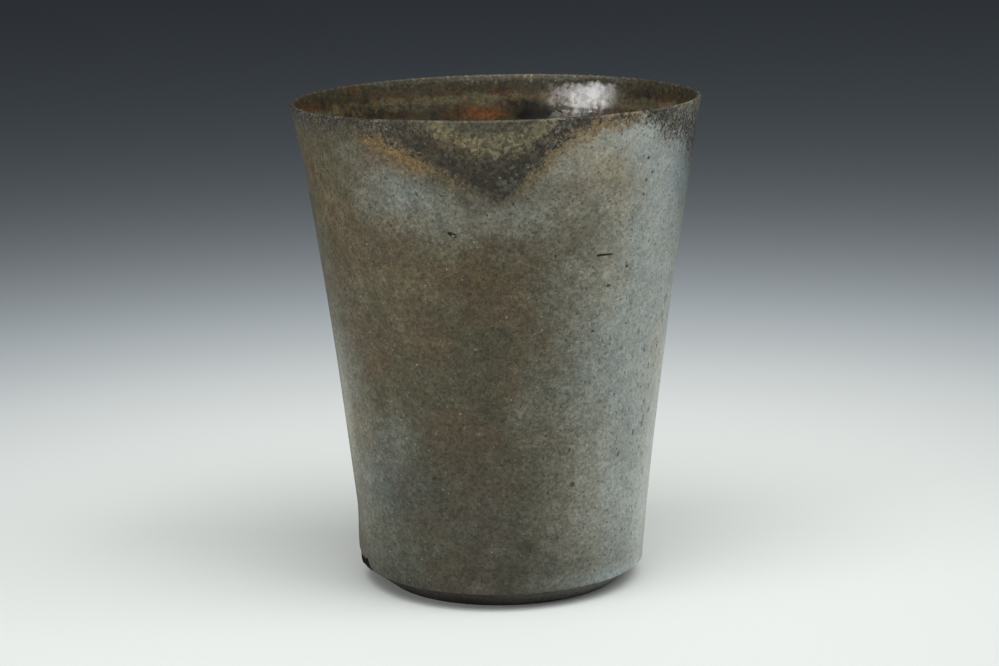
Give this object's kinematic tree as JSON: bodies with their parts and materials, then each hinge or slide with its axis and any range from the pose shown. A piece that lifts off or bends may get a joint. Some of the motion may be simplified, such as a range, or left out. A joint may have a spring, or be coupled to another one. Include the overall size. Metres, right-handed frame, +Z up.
{
  "type": "juice cup",
  "caption": "Handleless tapered stoneware tumbler with a bevelled foot, a glossy glazed inside and a matt glazed outside, for drinking cold drinks.",
  "frame": {"origin": "on the table under the middle of the foot", "axes": "+Z up along the cup's axis, towards the rim; the front in the picture faces -Y"},
  "size_m": [0.0834, 0.0834, 0.101],
  "materials": {
    "fired_clay": "bare dark stoneware, matt, trimmed smooth",
    "liner_glaze": "glossy amber brown glaze with ash mottling",
    "outer_glaze": "matt grey and brown wood-fired glaze with fine dark and pale specks",
    "rim_glaze": "satin dark ash glaze with olive mottling"
  },
  "bodies": {
    "root": {"clay_body": "fired_clay", "liner_glaze": "liner_glaze", "outer_glaze": "outer_glaze", "rim_glaze": "rim_glaze"}
  },
  "joints": []
}
